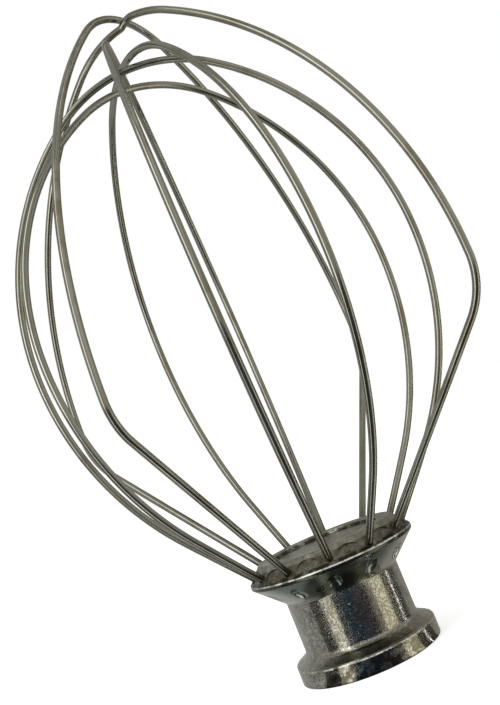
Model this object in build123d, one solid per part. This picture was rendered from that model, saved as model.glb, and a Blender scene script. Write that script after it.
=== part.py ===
from build123d import *
import math
import os
from typing import NamedTuple

# Wire whisk for a stand mixer: a cast hub that locks on the drive shaft, and six bent wire loops.
# Millimetres, +Z up, origin at the mouth of the shaft bore in the middle of the hub's foot.

# Drive shaft with its cross pin, and the L-shaped slot that the pin locks in
shaft_radius = 6.35
shaft_clearance = 0.15
pin_diameter = 4.8
pin_clearance = 0.2
pin_stand_out = 4.85
slot_depth = 13.0
slot_turn = 32.0

# Hub casting, each step measured from the one beside or below it
body_wall = 2.7
body_length = 12.9
foot_overhang = 3.35
foot_thickness = 4.5
neck_rise = 1.7
rim_overhang = 6.5
flare_rise = 6.0
rim_thickness = 0.8
shoulder_width = 3.6
shoulder_rise = 3.9
land_width = 3.6
recess_depth = 1.0
crown_thickness = 6.8

# Rounded edges of the hub
foot_round = 0.4
foot_top_round = 0.8
neck_round = 1.8
flare_round = 0.5
rim_round = 0.4
shoulder_round = 0.4
land_round = 0.4

# Wire, and its holes in the shoulder of the hub
wire_diameter = 1.8
hole_clearance = 0.05
hole_depth = 6.0
ring_setback = 1.45

# Punch marks that grip the wire: dents under the flare below each wire end, pads on the shoulder between
dent_length = 4.6
dent_width = 3.4
dent_depth = 0.7
dent_turn = -2.0
pad_length = 5.0
pad_width = 3.0
pad_depth = 0.3

# Bends of the four oval loops
oval_leg_angle = 40.8
oval_leg_length = 17.6
oval_shoulder_radius = 76.3
oval_top_radius = 34.3

# Bends of the wide loop, long in the leg and tight at the shoulder
wide_leg_angle = 45.4
wide_leg_length = 51.8
wide_shoulder_radius = 18.4
wide_top_radius = 28.7

# Bends of the tall loop
tall_leg_angle = 40.7
tall_leg_length = 51.1
tall_shoulder_radius = 14.5
tall_top_radius = 23.9

# Seat bent into the top of the wide loop, a step down to its lower half, in which the tall loop lies
seat_depth = 1.7
seat_play = 0.4
seat_gap = 0.8
seat_lip_radius = 5.0
seat_offset = 2.0

# Rise of the innermost loop from the ring of holes, and the gaps outwards to the next loops at the tip
innermost_rise = 123.3
nesting_gaps = [0.9, 0.5, 3.2, 4.8]

# Sway of the wide loop, which the tall loop follows in its seat
wide_sway = 0.2

# Socket sizes that follow
bore_radius = shaft_radius + shaft_clearance
slot_width = pin_diameter + 2 * pin_clearance
slot_reach = shaft_radius + pin_stand_out + pin_clearance

# Hub radii and heights that follow
body_radius = slot_reach + body_wall
foot_radius = body_radius + foot_overhang
rim_radius = body_radius + rim_overhang
land_radius = rim_radius - shoulder_width
recess_radius = land_radius - land_width
neck_height = foot_thickness + neck_rise
flare_height = neck_height + body_length
rim_underside = flare_height + flare_rise
rim_height = rim_underside + rim_thickness
land_height = rim_height + shoulder_rise
recess_height = land_height - recess_depth
bore_depth = recess_height - crown_thickness

# Wire sizes that follow
wire_radius = wire_diameter / 2
ring_radius = rim_radius - ring_setback
ring_height = rim_height + ring_setback * shoulder_rise / shoulder_width
seat_radius = wire_diameter + seat_play
rises = [innermost_rise]
for gap in nesting_gaps:
    rises.append(rises[-1] + wire_diameter + gap)
tall_rise = rises[4] - seat_depth + wire_diameter + seat_gap
tall_lean = wide_sway - math.degrees(math.asin(seat_offset / tall_rise))


class Bends(NamedTuple):
    """How the wire of one half loop is bent, from its leg to its top."""

    leg_angle: float
    leg_length: float
    shoulder_radius: float
    top_radius: float


class Loop(NamedTuple):
    """A loop of two like halves, its rise from the ring of holes, and its tilt and twist in degrees."""

    bends: Bends
    rise: float
    lean: float
    sway: float
    twist: float
    seated: bool = False


OVAL = Bends(oval_leg_angle, oval_leg_length, oval_shoulder_radius, oval_top_radius)
WIDE = Bends(wide_leg_angle, wide_leg_length, wide_shoulder_radius, wide_top_radius)
TALL = Bends(tall_leg_angle, tall_leg_length, tall_shoulder_radius, tall_top_radius)

# The loops in order around the hub, each a little off true, as worn wire is
LOOPS = [
    Loop(OVAL, rises[1], lean=-2.5, sway=-0.5, twist=0.4),
    Loop(OVAL, rises[0], lean=0.4, sway=0.4, twist=0.6),
    Loop(TALL, tall_rise, lean=tall_lean, sway=0.3, twist=-0.8),
    Loop(OVAL, rises[3], lean=1.4, sway=-0.1, twist=0.6),
    Loop(OVAL, rises[2], lean=1.2, sway=-1.7, twist=-0.2),
    Loop(WIDE, rises[4], lean=0.1, sway=wide_sway, twist=-1.4, seated=True),
]
LOOP_STEP = 180 / len(LOOPS)


def on_circle(center, radius, angle):
    """Point of a circle in the loop's plane, at an angle in degrees from +X towards +Z."""
    across = radius * math.cos(math.radians(angle))
    up = radius * math.sin(math.radians(angle))
    return center + Vector(across, 0, up)


def arc(center, radius, start, end):
    """Edge along a circle in the loop's plane, between two angles in degrees."""
    points = [on_circle(center, radius, angle) for angle in (start, (start + end) / 2, end)]
    return ThreePointArc(*points)


def angle_of(vector):
    return math.degrees(math.atan2(vector.Z, vector.X))


def top_center(loop):
    return Vector(0, 0, ring_height + loop.rise - loop.bends.top_radius)


def half_loop(loop, top_end):
    """Edges of the +X half of a loop, from its end in the hub to the angle top_end of its top arc."""
    leg_angle, leg_length, shoulder_radius, top_radius = loop.bends
    ring_point = Vector(ring_radius, 0, ring_height)
    leg_start = on_circle(ring_point, -hole_depth, 90 - leg_angle)
    leg_end = on_circle(ring_point, leg_length, 90 - leg_angle)

    # The shoulder arc leaves the leg without a kink, and is upright where the loop is widest
    shoulder = on_circle(leg_end, -shoulder_radius, -leg_angle)
    widest = on_circle(shoulder, shoulder_radius, 0)

    # The flank arc starts upright there, and runs into the top arc
    top = top_center(loop)
    climb = ring_height + loop.rise - widest.Z
    spare = widest.X**2 + climb**2 - 2 * climb * top_radius
    flank_radius = spare / (2 * (widest.X - top_radius))
    flank = Vector(widest.X - flank_radius, 0, widest.Z)
    meeting = angle_of(top - flank)

    return [
        Line(leg_start, leg_end),
        arc(shoulder, shoulder_radius, -leg_angle, 0),
        arc(flank, flank_radius, 0, meeting),
        arc(top, top_radius, meeting, top_end),
    ]


def seat_edges(lower, higher):
    """Step between the tops of two half loops, with the angles of their top arcs where it starts and ends."""
    low, high = top_center(lower), top_center(higher)
    top_radius = higher.bends.top_radius

    # The hollow of the seat touches the lower top arc from outside
    to_low = top_radius + seat_radius
    hollow = low + Vector(-seat_offset, 0, math.sqrt(to_low**2 - seat_offset**2))

    # Its lip touches the hollow from outside, and the higher top arc from inside
    to_high = top_radius - seat_lip_radius
    to_hollow = seat_radius + seat_lip_radius
    upward = hollow - high
    apart = upward.length
    along = (to_high**2 - to_hollow**2 + apart**2) / (2 * apart)
    across = math.sqrt(to_high**2 - along**2)
    lip = high + upward * (along / apart) + Vector(-upward.Z, 0, upward.X) * (across / apart)

    start, end = angle_of(hollow - low), angle_of(lip - high)
    edges = [
        arc(hollow, seat_radius, start - 180, angle_of(lip - hollow)),
        arc(lip, seat_lip_radius, angle_of(hollow - lip), end),
    ]
    return edges, start, end


def loop_path(loop):
    """Middle line of a loop in the XZ plane, from one end in the hub to the other."""
    lower, seat, start, end = loop, [], 90, 90
    if loop.seated:
        lower = loop._replace(rise=loop.rise - seat_depth)
        seat, start, end = seat_edges(lower, loop)
    right = half_loop(lower, start)
    left = [edge.mirror(Plane.YZ) for edge in half_loop(loop, 180 - end)]
    return Wire(right + seat + left)


def loop_place(index):
    """Where a loop stands: turned around the hub, and tilted about the middle of the ring of holes."""
    loop = LOOPS[index]
    tilt = Pos(0, 0, ring_height) * Rot(-loop.lean, loop.sway, 0) * Pos(0, 0, -ring_height)
    return Rot(0, 0, index * LOOP_STEP + loop.twist) * tilt


def wire_loop(index):
    path = loop_path(LOOPS[index])
    section = Plane(origin=path @ 0, z_dir=path % 0) * Circle(wire_radius)
    return loop_place(index) * sweep(section, path=path)


def wire_holes(index):
    """Two drillings that hold the ends of a loop, open at the shoulder of the hub."""
    drill_radius = wire_radius + hole_clearance
    leg_angle = LOOPS[index].bends.leg_angle
    holes = []
    for side in (1, -1):
        aim = Pos(side * ring_radius, 0, ring_height) * Rot(0, side * leg_angle, 0)
        holes.append(loop_place(index) * aim * Cylinder(drill_radius, 2 * hole_depth))
    return holes


def stake_dents():
    """Long round-ended dents in the underside of the flare, one below each wire end."""
    slant = math.degrees(math.atan2(rim_overhang, flare_rise))
    radius = (dent_width**2 / 4 + dent_depth**2) / (2 * dent_depth)
    straight = dent_length - dent_width
    punch = Cylinder(radius, straight)
    for end in (1, -1):
        punch += Pos(0, 0, end * straight / 2) * Sphere(radius)
    middle = Pos(body_radius + rim_overhang / 2, 0, flare_height + flare_rise / 2)
    struck = middle * Rot(0, slant, 0) * Pos(radius - dent_depth, 0, 0) * punch
    return [Rot(0, 0, turn * LOOP_STEP + dent_turn) * struck for turn in range(2 * len(LOOPS))]


def stake_pads():
    """Shallow oval pads pressed into the shoulder, midway between the wire ends."""
    slant = math.degrees(math.atan2(shoulder_rise, shoulder_width))
    middle = Pos(rim_radius - shoulder_width / 2, 0, rim_height + shoulder_rise / 2)
    punch = extrude(Ellipse(pad_width / 2, pad_length / 2), amount=2 * pad_depth)
    pressed = middle * Rot(0, slant, 0) * Pos(0, 0, -pad_depth) * punch
    return [Rot(0, 0, (turn + 0.5) * LOOP_STEP) * pressed for turn in range(2 * len(LOOPS))]


def hub_blank():
    """The hub turned from its half section, whose corners have a radius, a height and a round."""
    corners = [
        (0, 0, 0),
        (foot_radius, 0, foot_round),
        (foot_radius, foot_thickness, foot_top_round),
        (body_radius, neck_height, neck_round),
        (body_radius, flare_height, flare_round),
        (rim_radius, rim_underside, rim_round),
        (rim_radius, rim_height, shoulder_round),
        (land_radius, land_height, land_round),
        (recess_radius, land_height, land_round),
        (recess_radius, recess_height, land_round),
        (0, recess_height, 0),
    ]
    points = [Vector(radius, 0, height) for radius, height, _ in corners]
    profile = make_face(Polyline(*points, close=True))
    for point, (_, _, edge_round) in zip(points, corners):
        if edge_round > 0:
            profile = fillet(profile.vertices().sort_by_distance(point)[0], edge_round)
    return revolve(profile, Axis.Z)


def shaft_socket():
    """Bore for the drive shaft, with the pin's straight way in, and its turn to the place where it locks."""
    on_foot = (Align.CENTER, Align.CENTER, Align.MIN)
    outward = (Align.MIN, Align.CENTER, Align.MIN)
    lock_floor = slot_depth - slot_width
    bore = Cylinder(bore_radius, bore_depth, align=on_foot)
    way_in = Box(slot_reach, slot_width, slot_depth, align=outward)
    side = Plane.XZ * Pos(0, lock_floor) * Rectangle(slot_reach, slot_width, align=(Align.MIN, Align.MIN))
    turn = revolve(side, Axis.Z, revolution_arc=slot_turn)
    pocket = Box(slot_reach, slot_width, slot_width, align=outward)
    end = Rot(0, 0, slot_turn) * Pos(0, 0, lock_floor) * pocket
    return [bore, way_in, turn, end]


def hub():
    body = hub_blank() - shaft_socket()
    body -= stake_dents()
    body -= stake_pads()
    for index in range(len(LOOPS)):
        body -= wire_holes(index)
    return body


os.makedirs("parts", exist_ok=True)
export_step(hub(), "parts/hub.step")
for index in range(len(LOOPS)):
    export_step(wire_loop(index), f"parts/wire_loop_{index + 1}.step")
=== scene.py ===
import math
from types import SimpleNamespace

import bpy
import numpy as np
from mathutils import Matrix, Vector


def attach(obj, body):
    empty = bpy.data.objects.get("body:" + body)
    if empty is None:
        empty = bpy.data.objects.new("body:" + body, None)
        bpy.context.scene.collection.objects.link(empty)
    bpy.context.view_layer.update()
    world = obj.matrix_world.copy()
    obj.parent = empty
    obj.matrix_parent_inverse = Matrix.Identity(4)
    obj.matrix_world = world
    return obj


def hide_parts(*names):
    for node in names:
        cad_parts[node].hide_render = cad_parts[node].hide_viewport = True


# Worn wire whisk for a stand mixer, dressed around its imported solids. Metres, +Z up.

MM = 0.001

# The photograph's frame and the place of its camera
PHOTO_HEIGHT = 705
SENSOR_MM = 36.0
FOCAL_PIXELS = 999.7
CAMERA_PLACE = Vector((9.08, -242.97, 56.57)) * MM
CAMERA_YAW = math.radians(-2.01)
CAMERA_PITCH = math.radians(5.04)
CAMERA_ROLL = math.radians(-22.26)
CAMERA_SIDE = math.atan2(CAMERA_PLACE.y, CAMERA_PLACE.x)
CLIP_START = 0.01

# Loops of wire, and the mesh that is drawn along each of them
LOOP_COUNT = 6
WIRE_SIDES = 24
WIRE_STEP = 0.8 * MM
SAME_RING = 0.02 * MM
FACING_SIDE = 0.95

# Hub heights, radius and depths towards the camera that the finish and its painted reflection, shade and
# highlight follow
FOOT_TOP = 4.5 * MM
NECK = 6.2 * MM
FLARE = 19.1 * MM
RIM_UNDERSIDE = 25.1 * MM
RIM_TOP = 25.9 * MM
WIRE_HOLES = 27.5 * MM
LAND = 29.8 * MM
RECESS_RADIUS = 13.4 * MM
WEAR_DEPTHS = (-4.0 * MM, -11.0 * MM)
# Depths over which the painted dark reflection, shade and highlight grow towards the camera
FACING_CAMERA_DEPTHS = (-10.0 * MM, -16.0 * MM)

# Wear, as noise cells in a metre
CLOUDS = 110.0
MOTTLES = 420.0
CRACKS = 1000.0
DIMPLES = 1500.0
SPECKS = 1700.0
FLECKS = 2100.0
PITS = 3300.0

# Streaks of the drawn wire, as noise cells along a metre and their fineness round the wire
WIRE_STREAKS = (9.0, 2.2)
WIRE_LINES = (14.0, 7.0)
LOOP_SHIFT = 17.0

# Depth of the relief that only the shading has, and reach of the painted shade out of a corner
WIRE_RELIEF = 0.02 * MM
HUB_RELIEF = 0.07 * MM
CORNER_SHADE_REACH = 1.6 * MM

# Colours of the wire: tones of its streaks, then what dulls it
WIRE_TONES = (
    (0.30, (0.21, 0.21, 0.175)),
    (0.50, (0.34, 0.34, 0.295)),
    (0.70, (0.46, 0.46, 0.415)),
)
WIRE_STAIN = (0.21, 0.165, 0.11)
WIRE_SPECK = (0.10, 0.085, 0.06)
WIRE_END = (0.09, 0.075, 0.055)

# Colours of the hub: tones of its mottle in each zone, then what lies on them, with painted reflection,
# shade and highlight among them
BODY_TONES = (
    (0.34, (0.36, 0.35, 0.315)),
    (0.50, (0.50, 0.49, 0.45)),
    (0.66, (0.60, 0.59, 0.55)),
)
SHOULDER_TONES = (
    (0.34, (0.08, 0.073, 0.056)),
    (0.52, (0.17, 0.163, 0.13)),
    (0.70, (0.34, 0.325, 0.275)),
)
LAND_TONES = (
    (0.34, (0.19, 0.185, 0.155)),
    (0.50, (0.34, 0.335, 0.295)),
    (0.66, (0.50, 0.49, 0.445)),
)
FLARE_TONES = ((0.37, 0.375, 0.345), (0.74, 0.745, 0.70))
# Painted dark reflection on the flare's side towards the camera
FLARE_REFLECTION_TONES = ((0.085, 0.108, 0.097), (0.23, 0.268, 0.243))
PIT_COLOR = (0.12, 0.105, 0.06)
CRACK_COLOR = (0.10, 0.09, 0.06)
FILM_COLOR = (0.25, 0.21, 0.15)
FLECK_COLOR = (0.75, 0.74, 0.70)
# Painted dark reflection, in patches, on the foot's side towards the camera
FOOT_REFLECTION_COLOR = (0.10, 0.09, 0.06)
# Painted shade in the groove above the foot, darkest towards the camera
GROOVE_SHADE_COLOR = (0.08, 0.075, 0.06)
# Painted dark reflection on the rim's wall
RIM_REFLECTION_COLOR = (0.10, 0.105, 0.09)
# Painted shade lines at the ledge above the rim and at the recess's edge
SHADE_LINE_COLOR = (0.03, 0.027, 0.02)
# Painted highlight on the edges of rim and foot
EDGE_HIGHLIGHT_COLOR = (0.72, 0.71, 0.66)
# Painted shade: near black, laid where ambient occlusion finds a corner
CORNER_SHADE_COLOR = (0.03, 0.026, 0.018)

# Floor, world and key lamp
FLOOR_HALF = 3.0
FLOOR_COLOR = (0.9, 0.9, 0.9)
FLOOR_ROUGHNESS = 0.9
FLOOR_GLOW = 0.48
WORLD_STRENGTH = 0.72
KEY_PLACE = Vector((-0.35, -0.35, 0.75))
KEY_AIM = Vector((0.0, 0.0, 0.08))
KEY_SIZE = 0.5
KEY_ENERGY = 4.0

# Tent, hood and ceiling that only the metal shows, as angles in degrees round from the camera's side
TENT_START = 1.5 * MM
TENT_BASE = 15.5 * MM
TENT_DISTANCE = 0.45
TENT_HEIGHT = 1.1
TENT_LIFT = 0.2 * MM
TENT_STEP = 3.0
BACK_BLEND = 60.0
TENT_PANELS = (
    ("tent_left", -180, -79, (0.95, 0.97, 0.92), 0.46),
    ("flag_left", -79, -53, (1.0, 1.0, 0.95), 0.06),
    ("softbox_left", -53, -31, (1.0, 0.98, 0.86), 1.2),
    ("flag_front", -31, 10, (0.42, 0.66, 1.0), 0.09),
    ("flag_front_right", 10, 38, (0.85, 0.80, 1.0), 0.08),
    ("edge_right", 38, 50, (1.0, 0.95, 0.80), 0.30),
    ("softbox_right", 50, 78, (1.0, 0.96, 0.74), 1.12),
    ("flag_right", 78, 96.5, (1.0, 1.0, 0.95), 0.08),
    ("lamp_right", 96.5, 98.5, (1.0, 1.0, 0.97), 4.0),
    ("flag_far_right", 98.5, 118, (1.0, 1.0, 0.95), 0.07),
    ("tent_right", 118, 180, (1.0, 0.95, 0.84), 0.32),
)
HOOD_DISTANCE = 0.40
HOOD_RISES = (7, 66)
HOOD_PANELS = (
    ("hood_left", -115, -52, (1.0, 0.98, 0.88), 0.50),
    ("hood_strip", -52, -28, (1.0, 0.99, 0.92), 2.4),
    ("hood_right", -28, 115, (1.0, 0.98, 0.88), 0.55),
)
CEILING_COLOR = (1.0, 0.98, 0.92)
CEILING_GLOW = 0.45


def link(tree, socket, value):
    """Give a node's input a value, or a link from another node."""
    if isinstance(value, bpy.types.NodeSocket):
        tree.links.new(value, socket)
    else:
        socket.default_value = value


def add(tree, kind, inputs=None, **settings):
    """New shader node with its settings, and its inputs as values or as links."""
    node = tree.nodes.new(kind)
    for name, value in settings.items():
        setattr(node, name, value)
    for key, value in (inputs or {}).items():
        link(tree, node.inputs[key], value)
    return node


def math_node(tree, operation, *values):
    return add(tree, "ShaderNodeMath", dict(enumerate(values)), operation=operation).outputs[0]


def chain(tree, operation, values):
    """Many values brought into one by the same operation."""
    result = values[0]
    for value in values[1:]:
        result = math_node(tree, operation, result, value)
    return result


def product(tree, *values):
    return chain(tree, "MULTIPLY", values)


def maximum(tree, *values):
    return chain(tree, "MAXIMUM", values)


def vector(tree, x, y, z):
    return add(tree, "ShaderNodeCombineXYZ", {0: x, 1: y, 2: z}).outputs[0]


def ramp(tree, value, stops):
    """Colour by value, between stops of a position and a colour."""
    node = add(tree, "ShaderNodeValToRGB", {"Fac": value})
    elements = node.color_ramp.elements
    while len(elements) < len(stops):
        elements.new(1.0)
    for element, (position, color) in zip(elements, stops):
        element.position = position
        element.color = (*color, 1.0)
    return node.outputs["Color"]


def smooth(tree, value, start, end, low=0.0, high=1.0):
    """Value carried smoothly from low at start to high at end."""
    inputs = {"Value": value, "From Min": start, "From Max": end, "To Min": low, "To Max": high}
    node = add(tree, "ShaderNodeMapRange", inputs, interpolation_type="SMOOTHSTEP")
    return node.outputs["Result"]


def between(tree, value, start, end, soft):
    """1 where a value lies between start and end, with soft edges outside them."""
    rise = smooth(tree, value, start - soft, start)
    fall = smooth(tree, value, end, end + soft, 1.0, 0.0)
    return product(tree, rise, fall)


def mix(tree, factor, below, above):
    """Number carried from one to the other by a factor."""
    return add(tree, "ShaderNodeMix", {0: factor, 2: below, 3: above}).outputs[0]


def blend(tree, factor, below, above):
    """Colour carried from one to the other by a factor."""
    node = add(tree, "ShaderNodeMix", data_type="RGBA")
    link(tree, node.inputs[0], factor)
    for socket, color in ((node.inputs[6], below), (node.inputs[7], above)):
        link(tree, socket, color if isinstance(color, bpy.types.NodeSocket) else (*color, 1.0))
    return node.outputs[2]


def layered(tree, color, *layers):
    """Colour with others laid over it in turn, each by its own factor."""
    for factor, layer in layers:
        color = blend(tree, factor, color, layer)
    return color


def noise(tree, place, scale, detail, roughness=0.5):
    inputs = {"Vector": place, "Scale": scale, "Detail": detail, "Roughness": roughness}
    return add(tree, "ShaderNodeTexNoise", inputs).outputs["Fac"]


def new_material(name, shader_kind="ShaderNodeBsdfPrincipled"):
    """Material with an empty node tree, its surface shader and its output."""
    material = bpy.data.materials.new(name)
    material.use_nodes = True
    tree = material.node_tree
    tree.nodes.clear()
    shader = tree.nodes.new(shader_kind)
    output = tree.nodes.new("ShaderNodeOutputMaterial")
    tree.links.new(shader.outputs[0], output.inputs["Surface"])
    return material, tree, shader


def set_relief(tree, shader, height, strength, distance):
    bump = add(tree, "ShaderNodeBump", {"Height": height, "Strength": strength, "Distance": distance})
    link(tree, shader.inputs["Normal"], bump.outputs["Normal"])


def wire_steel(index):
    """Drawn steel wire: long streaks along it, brown patches, specks, and a darker end in the hub."""
    material, tree, shader = new_material(f"wire_steel_{index + 1}")
    coords = add(tree, "ShaderNodeTexCoord").outputs
    along, around, _ = add(tree, "ShaderNodeSeparateXYZ", {0: coords["UV"]}).outputs
    height = add(tree, "ShaderNodeSeparateXYZ", {0: coords["Object"]}).outputs["Z"]
    angle = math_node(tree, "MULTIPLY", around, 2 * math.pi)
    across = math_node(tree, "COSINE", angle)
    up = math_node(tree, "SINE", angle)

    def drawn(per_metre, fineness):
        """Noise stretched along the wire, other on every loop."""
        reach = math_node(tree, "MULTIPLY_ADD", along, per_metre, LOOP_SHIFT * index)
        return noise(tree, vector(tree, across, up, reach), fineness, 2.0)

    streak = drawn(*WIRE_STREAKS)
    line = drawn(*WIRE_LINES)
    patch = noise(tree, coords["Object"], CLOUDS, 4.0, 0.6)
    speck = noise(tree, coords["Object"], SPECKS, 2.0)

    color = layered(
        tree,
        ramp(tree, streak, WIRE_TONES),
        (smooth(tree, patch, 0.50, 0.70, high=0.6), WIRE_STAIN),
        (smooth(tree, speck, 0.68, 0.76, high=0.3), WIRE_SPECK),
        (smooth(tree, height, LAND + 4 * MM, WIRE_HOLES, high=0.7), WIRE_END),
    )
    link(tree, shader.inputs["Base Color"], color)
    link(tree, shader.inputs["Roughness"], smooth(tree, line, 0.3, 0.7, low=0.13, high=0.24))
    shader.inputs["Metallic"].default_value = 1.0
    set_relief(tree, shader, line, 0.1, WIRE_RELIEF)
    return material


def hub_zones(tree, place):
    """Masks, from 0 to 1, of the zones of the hub that have a finish of their own, and of its side
    towards the camera.
    """
    across, depth, height = add(tree, "ShaderNodeSeparateXYZ", {0: place}).outputs
    level = vector(tree, across, depth, 0.0)
    radius = add(tree, "ShaderNodeVectorMath", {0: level}, operation="LENGTH").outputs["Value"]
    crown = smooth(tree, height, RIM_TOP, RIM_TOP + 0.3 * MM)
    ring = between(tree, radius, RECESS_RADIUS - 0.25 * MM, RECESS_RADIUS - 0.05 * MM, 0.15 * MM)
    return SimpleNamespace(
        crown=crown,
        land=smooth(tree, height, LAND - 1.3 * MM, LAND - 0.9 * MM),
        recess_edge=product(tree, ring, crown),
        ledge=between(tree, height, RIM_TOP + 0.35 * MM, RIM_TOP + 0.7 * MM, 0.3 * MM),
        rim_edge=between(tree, height, RIM_TOP - 0.12 * MM, RIM_TOP + 0.12 * MM, 0.08 * MM),
        rim=between(tree, height, RIM_UNDERSIDE - 0.1 * MM, RIM_TOP - 0.25 * MM, 0.1 * MM),
        flare=between(tree, height, FLARE + 0.2 * MM, RIM_UNDERSIDE - 0.3 * MM, 0.3 * MM),
        groove=between(tree, height, FOOT_TOP - 0.08 * MM, NECK + 0.2 * MM, 0.25 * MM),
        foot_edge=between(tree, height, FOOT_TOP - 0.55 * MM, FOOT_TOP - 0.3 * MM, 0.1 * MM),
        foot=smooth(tree, height, FOOT_TOP, FOOT_TOP - 0.6 * MM),
        worn=smooth(tree, depth, *WEAR_DEPTHS),
        # Side towards the camera, where reflection, shade and highlight are painted
        facing_camera=smooth(tree, depth, *FACING_CAMERA_DEPTHS),
    )


def hub_grain(tree, place):
    """Noises of the hub's surface, from fine pits to clouds of stain."""
    wander = math_node(tree, "SUBTRACT", noise(tree, place, CRACKS, 3.0, 0.6), 0.5)
    return SimpleNamespace(
        pit=smooth(tree, noise(tree, place, PITS, 2.0), 0.56, 0.64),
        fleck=smooth(tree, noise(tree, place, FLECKS, 1.0), 0.70, 0.76),
        dimple=noise(tree, place, DIMPLES, 3.0, 0.6),
        crack=smooth(tree, math_node(tree, "ABSOLUTE", wander), 0.06, 0.015),
        mottle=noise(tree, place, MOTTLES, 5.0, 0.62),
        cloud=noise(tree, place, CLOUDS, 3.0),
    )


def painted_edge_highlight(tree, zone, grain):
    """Mask of a painted highlight on the edges of rim and foot, in patches and strongest towards the
    camera.
    """
    edge = maximum(tree, zone.rim_edge, zone.foot_edge)
    highlight_patches = smooth(tree, grain.mottle, 0.40, 0.56, low=0.2, high=0.95)
    return product(tree, edge, highlight_patches, mix(tree, zone.facing_camera, 0.3, 1.0))


def hub_color(tree, zone, grain, edge_highlight):
    """Colour of the hub: bare metal, then what lies on it from the finest wear, through painted
    reflection, shade and highlight, to the painted shade in corners.
    """
    mottle = grain.mottle
    pitting = product(tree, grain.pit, mix(tree, zone.worn, 0.25, 0.6))
    cracking = product(tree, grain.crack, mix(tree, zone.worn, 0.12, 0.6))
    film = smooth(tree, grain.cloud, 0.48, 0.68, high=0.4)
    # Painted dark reflection on the foot, in patches, towards the camera
    foot_reflection = product(tree, zone.foot, zone.facing_camera, smooth(tree, mottle, 0.57, 0.45, high=0.85))
    # Painted shade in the groove, darkest towards the camera
    groove = product(tree, zone.groove, mix(tree, zone.facing_camera, 0.1, 0.8))
    # Painted shade: near-black lines in the crease above the rim and at the recess's edge
    shade_edges = maximum(tree, zone.ledge, zone.recess_edge)
    line = product(tree, shade_edges, smooth(tree, mottle, 0.66, 0.46, high=0.95))

    dull = blend(tree, mottle, *FLARE_TONES)
    # Painted dark reflection for the flare's side towards the camera
    flare_reflection = blend(tree, mottle, *FLARE_REFLECTION_TONES)
    shoulder = ramp(tree, mottle, SHOULDER_TONES)
    land = ramp(tree, mottle, LAND_TONES)

    # Painted shade in corners and wire entries, from ambient occlusion
    corner = add(tree, "ShaderNodeAmbientOcclusion", {"Distance": CORNER_SHADE_REACH}, samples=8).outputs["AO"]
    shade_start = mix(tree, zone.crown, 0.76, 0.60)
    shade_full = mix(tree, zone.crown, 0.36, 0.28)
    corner_shade = smooth(tree, corner, shade_start, shade_full, high=0.92)

    return layered(
        tree,
        ramp(tree, mottle, BODY_TONES),
        (pitting, PIT_COLOR),
        (cracking, CRACK_COLOR),
        (film, FILM_COLOR),
        (grain.fleck, FLECK_COLOR),
        (foot_reflection, FOOT_REFLECTION_COLOR),
        (zone.flare, blend(tree, zone.facing_camera, dull, flare_reflection)),
        (groove, GROOVE_SHADE_COLOR),
        (zone.crown, blend(tree, zone.land, shoulder, land)),
        # Painted dark reflection on the rim's wall
        (zone.rim, RIM_REFLECTION_COLOR),
        (line, SHADE_LINE_COLOR),
        (edge_highlight, EDGE_HIGHLIGHT_COLOR),
        (corner_shade, CORNER_SHADE_COLOR),
    )


def hub_metal():
    """Worn burnished casting: pits and cracks, a stained crown, painted dark reflection on flare, foot
    and rim, painted shade in groove and corners, a painted highlight on the edges.
    """
    material, tree, shader = new_material("hub_metal")
    place = add(tree, "ShaderNodeTexCoord").outputs["Object"]
    zone = hub_zones(tree, place)
    grain = hub_grain(tree, place)
    edge_highlight = painted_edge_highlight(tree, zone, grain)
    link(tree, shader.inputs["Base Color"], hub_color(tree, zone, grain, edge_highlight))
    # The painted edge highlight is made less metallic, so that its pale colour shows
    link(tree, shader.inputs["Metallic"], smooth(tree, edge_highlight, 0.0, 1.0, low=1.0, high=0.25))

    polish = smooth(tree, grain.mottle, 0.35, 0.70, low=0.08, high=0.18)
    body_roughness = mix(tree, grain.fleck, polish, 0.55)
    link(tree, shader.inputs["Roughness"], mix(tree, zone.crown, body_roughness, 0.36))

    relief = math_node(tree, "MULTIPLY_ADD", grain.crack, -0.14, product(tree, grain.dimple, 0.27))
    even = maximum(tree, zone.flare, zone.groove, edge_highlight)
    strength = mix(tree, even, mix(tree, zone.worn, 0.45, 1.0), 0.2)
    set_relief(tree, shader, relief, strength, HUB_RELIEF)
    return material


def dress(obj, material):
    obj.data.materials.clear()
    obj.data.materials.append(material)


def new_mesh(name, points, faces):
    mesh = bpy.data.meshes.new(name)
    mesh.from_pydata([tuple(point) for point in points], [], faces)
    mesh.update()
    obj = bpy.data.objects.new(name, mesh)
    bpy.context.scene.collection.objects.link(obj)
    return obj


def read(collection, attribute, width, kind=float):
    """One attribute of a mesh's vertices or corners, as an array."""
    values = np.empty(len(collection) * width, dtype=kind)
    collection.foreach_get(attribute, values)
    return values.reshape(-1, width) if width > 1 else values


def unit(vectors):
    return vectors / np.linalg.norm(vectors, axis=-1, keepdims=True)


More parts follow.
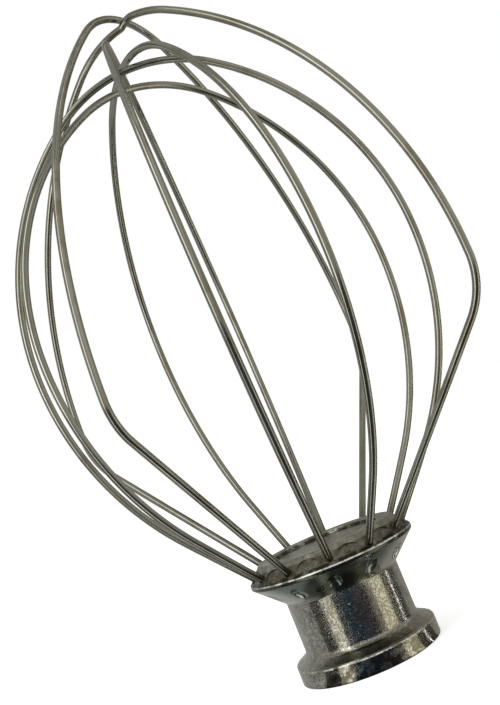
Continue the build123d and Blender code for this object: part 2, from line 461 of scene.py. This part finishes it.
def wire_line(mesh):
    """Middles and directions along a wire's mesh, the normal of its plane, and its radius."""
    points = read(mesh.vertices, "co", 3)
    corners = points[read(mesh.loops, "vertex_index", 1, np.int32)]
    normals = read(mesh.corner_normals, "vector", 3)
    plane = np.linalg.svd(points - points.mean(axis=0), full_matrices=False)[2][2]
    radius = np.ptp(points @ plane) / 2
    upward = unit(np.array((0.0, 0.0, 1.0)) - plane * plane[2])
    sideways = np.cross(upward, plane)

    # Corners that face along the plane's normal give the middles, in order by their angle from the top
    middles = corners - normals * radius
    facing = middles[np.abs(normals @ plane) > FACING_SIDE]
    spread = facing - (points.min(axis=0) + points.max(axis=0)) / 2
    order = np.argsort(np.arctan2(spread @ sideways, spread @ upward))
    facing = facing[order]
    apart = np.linalg.norm(np.diff(facing, axis=0), axis=1) > SAME_RING
    rings = np.split(facing, np.flatnonzero(apart) + 1)
    centers = np.array([ring.mean(axis=0) for ring in rings])

    # The wire runs square to the corner normals around each middle
    directions = []
    for index, center in enumerate(centers):
        near = np.linalg.norm(middles - center, axis=1) < SAME_RING
        direction = np.linalg.svd(normals[near], full_matrices=False)[2][2]
        ahead = centers[min(index + 1, len(centers) - 1)] - centers[max(index - 1, 0)]
        directions.append(direction * np.sign(direction @ ahead))
    return centers, np.array(directions), plane, radius


def sampled(centers, directions):
    """Even points and directions along a smooth line through the middles."""
    points, tangents = [], []
    for start, end, leave, arrive in zip(centers[:-1], centers[1:], directions[:-1], directions[1:]):
        length = np.linalg.norm(end - start)
        steps = max(1, math.ceil(length / WIRE_STEP))
        for t in np.arange(steps) / steps:
            onward = leave * t * (1 - t) ** 2 - arrive * t**2 * (1 - t)
            points.append(start + (end - start) * t**2 * (3 - 2 * t) + onward * length)
            tangents.append(leave * (1 - t) + arrive * t)
    points.append(centers[-1])
    tangents.append(directions[-1])
    return np.array(points), unit(np.array(tangents))


def tube(line, tangents, plane, radius):
    """Points and faces of a round tube with flat ends, and the length and turn at each face's corners."""
    points = []
    for center, side in zip(line, np.cross(tangents, plane)):
        for turn in range(WIRE_SIDES):
            angle = 2 * math.pi * turn / WIRE_SIDES
            points.append(center + radius * (plane * math.cos(angle) + side * math.sin(angle)))

    lengths = np.concatenate([[0.0], np.cumsum(np.linalg.norm(np.diff(line, axis=0), axis=1))])
    faces, corners = [], []
    for ring in range(len(line) - 1):
        near, far = ring * WIRE_SIDES, (ring + 1) * WIRE_SIDES
        for turn in range(WIRE_SIDES):
            beside = (turn + 1) % WIRE_SIDES
            faces.append((near + turn, near + beside, far + beside, far + turn))
            for step, around in ((0, turn), (0, turn + 1), (1, turn + 1), (1, turn)):
                corners.append((lengths[ring + step], around / WIRE_SIDES))

    first_end = range(WIRE_SIDES)
    last_end = range(len(points) - WIRE_SIDES, len(points))
    for end, length in ((reversed(first_end), lengths[0]), (last_end, lengths[-1])):
        faces.append(tuple(end))
        corners += [(length, 0.0)] * WIRE_SIDES
    return points, faces, corners


def draw_wire(name, node, material):
    """Smooth round wire along a packed loop, with its length and its turn as texture coordinates."""
    centers, directions, plane, radius = wire_line(node.data)
    line, tangents = sampled(centers, directions)
    points, faces, corners = tube(line, tangents, plane, radius)
    wire = new_mesh(f"drawn_{name}", points, faces)
    layer = wire.data.uv_layers.new(name="drawn")
    layer.data.foreach_set("uv", np.array(corners).ravel())
    wire.data.shade_smooth()
    dress(wire, material)
    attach(wire, "root")
    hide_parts(name)


def make_camera():
    """Camera at the photograph's place, turned as it was held."""
    level = math.cos(CAMERA_PITCH)
    forward = Vector((math.sin(CAMERA_YAW) * level, math.cos(CAMERA_YAW) * level, math.sin(CAMERA_PITCH)))
    right = forward.cross(Vector((0, 0, 1))).normalized()
    up = right.cross(forward)
    right_turned = right * math.cos(CAMERA_ROLL) + up * math.sin(CAMERA_ROLL)
    up_turned = up * math.cos(CAMERA_ROLL) - right * math.sin(CAMERA_ROLL)
    data = bpy.data.cameras.new("camera")
    data.sensor_width = SENSOR_MM
    data.lens = SENSOR_MM * FOCAL_PIXELS / PHOTO_HEIGHT
    data.clip_start = CLIP_START
    camera = bpy.data.objects.new("camera", data)
    turn = Matrix((right_turned, up_turned, -forward)).transposed()
    camera.matrix_world = Matrix.Translation(CAMERA_PLACE) @ turn.to_4x4()
    bpy.context.scene.collection.objects.link(camera)
    bpy.context.scene.camera = camera


def seen_as_background(tree):
    """1 for rays that show the background itself: to the camera, in metal, and through glass."""
    path = add(tree, "ShaderNodeLightPath").outputs
    return maximum(tree, path["Is Camera Ray"], path["Is Glossy Ray"], path["Is Transmission Ray"])


def make_world():
    """White all round where it is seen, and a plain level of light on the object."""
    world = bpy.data.worlds.new("studio")
    world.use_nodes = True
    tree = world.node_tree
    tree.nodes.clear()
    strength = mix(tree, seen_as_background(tree), WORLD_STRENGTH, 1.0)
    background = add(tree, "ShaderNodeBackground", {"Color": (1, 1, 1, 1), "Strength": strength})
    output = tree.nodes.new("ShaderNodeOutputWorld")
    tree.links.new(background.outputs[0], output.inputs["Surface"])
    bpy.context.scene.world = world


def square(half, height):
    """Corners and face of a level square round the origin."""
    corners = [(-half, -half, height), (half, -half, height), (half, half, height), (-half, half, height)]
    return corners, [(0, 1, 2, 3)]


def make_floor():
    """White floor that keeps the object's soft shadow."""
    floor = new_mesh("floor", *square(FLOOR_HALF, 0.0))
    material, tree, shader = new_material("floor")
    shader.inputs["Base Color"].default_value = (*FLOOR_COLOR, 1.0)
    shader.inputs["Roughness"].default_value = FLOOR_ROUGHNESS
    shader.inputs["Specular IOR Level"].default_value = 0.0
    shader.inputs["Emission Color"].default_value = (1.0, 1.0, 1.0, 1.0)
    link(tree, shader.inputs["Emission Strength"], product(tree, seen_as_background(tree), FLOOR_GLOW))
    dress(floor, material)


def make_glow(name, points, faces, color, strength):
    """Glowing panel that only metal shows, with no light on dull surfaces and no shadow."""
    material, _, shader = new_material(name, "ShaderNodeEmission")
    shader.inputs["Color"].default_value = (*color, 1.0)
    shader.inputs["Strength"].default_value = strength
    panel = new_mesh(name, points, faces)
    dress(panel, material)
    panel.visible_camera = False
    panel.visible_diffuse = False
    panel.visible_shadow = False


def turns(start, end):
    """Even angles from start to end, at most one step of the tent apart."""
    count = math.ceil((end - start) / TENT_STEP)
    return [start + (end - start) * step / count for step in range(count + 1)]


def strip_faces(points, rows):
    """Faces between neighbouring columns of points, each column with the same number of rows."""
    faces = []
    for column in range(0, len(points) - rows, rows):
        for first in range(column, column + rows - 1):
            faces.append((first, first + 1, first + rows + 1, first + rows))
    return faces


def make_panel(name, start, end, color, strength):
    """Strip of the tent's floor and wall that the hub mirrors to the camera between two angles."""
    profile = ((TENT_START, TENT_LIFT), (TENT_DISTANCE, TENT_LIFT), (TENT_DISTANCE, TENT_HEIGHT))
    points = []
    for turn in turns(start, end):
        base = TENT_BASE * min(1.0, (180 - abs(turn)) / BACK_BLEND)
        mirror = CAMERA_SIDE + math.radians(turn / 2)
        ray = CAMERA_SIDE + math.radians(turn)
        for reach, height in profile:
            across = base * math.cos(mirror) + reach * math.cos(ray)
            away = base * math.sin(mirror) + reach * math.sin(ray)
            points.append((across, away, height))
    make_glow(name, points, strip_faces(points, len(profile)), color, strength)


def make_hood(name, start, end, color, strength):
    """Curved strip above the camera, between two angles round the object."""
    points = []
    for turn in turns(start, end):
        ray = CAMERA_SIDE + math.radians(turn)
        for rise in map(math.radians, HOOD_RISES):
            level = HOOD_DISTANCE * math.cos(rise)
            points.append((level * math.cos(ray), level * math.sin(ray), HOOD_DISTANCE * math.sin(rise)))
    make_glow(name, points, strip_faces(points, len(HOOD_RISES)), color, strength)


def make_ceiling():
    corners, faces = square(TENT_DISTANCE + 2 * TENT_BASE, TENT_HEIGHT)
    make_glow("tent_ceiling", corners, faces, CEILING_COLOR, CEILING_GLOW)


def make_key_lamp():
    """Soft round lamp that casts the floor's shadow and isn't mirrored in the metal."""
    data = bpy.data.lights.new("key", "AREA")
    data.shape = "DISK"
    data.size = KEY_SIZE
    data.energy = KEY_ENERGY
    lamp = bpy.data.objects.new("key", data)
    lamp.location = KEY_PLACE
    lamp.rotation_mode = "QUATERNION"
    lamp.rotation_quaternion = (KEY_AIM - KEY_PLACE).to_track_quat("-Z", "Y")
    lamp.visible_glossy = False
    bpy.context.scene.collection.objects.link(lamp)


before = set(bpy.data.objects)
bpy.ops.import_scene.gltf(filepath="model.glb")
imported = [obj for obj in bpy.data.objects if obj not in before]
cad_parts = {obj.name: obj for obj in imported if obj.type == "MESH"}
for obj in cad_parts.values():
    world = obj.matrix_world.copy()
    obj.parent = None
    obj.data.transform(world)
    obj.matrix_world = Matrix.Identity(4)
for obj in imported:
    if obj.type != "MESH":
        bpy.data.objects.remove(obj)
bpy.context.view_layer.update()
bpy.context.scene.view_settings.view_transform = "Standard"

make_camera()
make_world()
make_floor()
for panel in TENT_PANELS:
    make_panel(*panel)
for panel in HOOD_PANELS:
    make_hood(*panel)
make_ceiling()
make_key_lamp()

dress(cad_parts["hub"], hub_metal())
for index in range(LOOP_COUNT):
    name = f"wire_loop_{index + 1}"
    draw_wire(name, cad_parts[name], wire_steel(index))
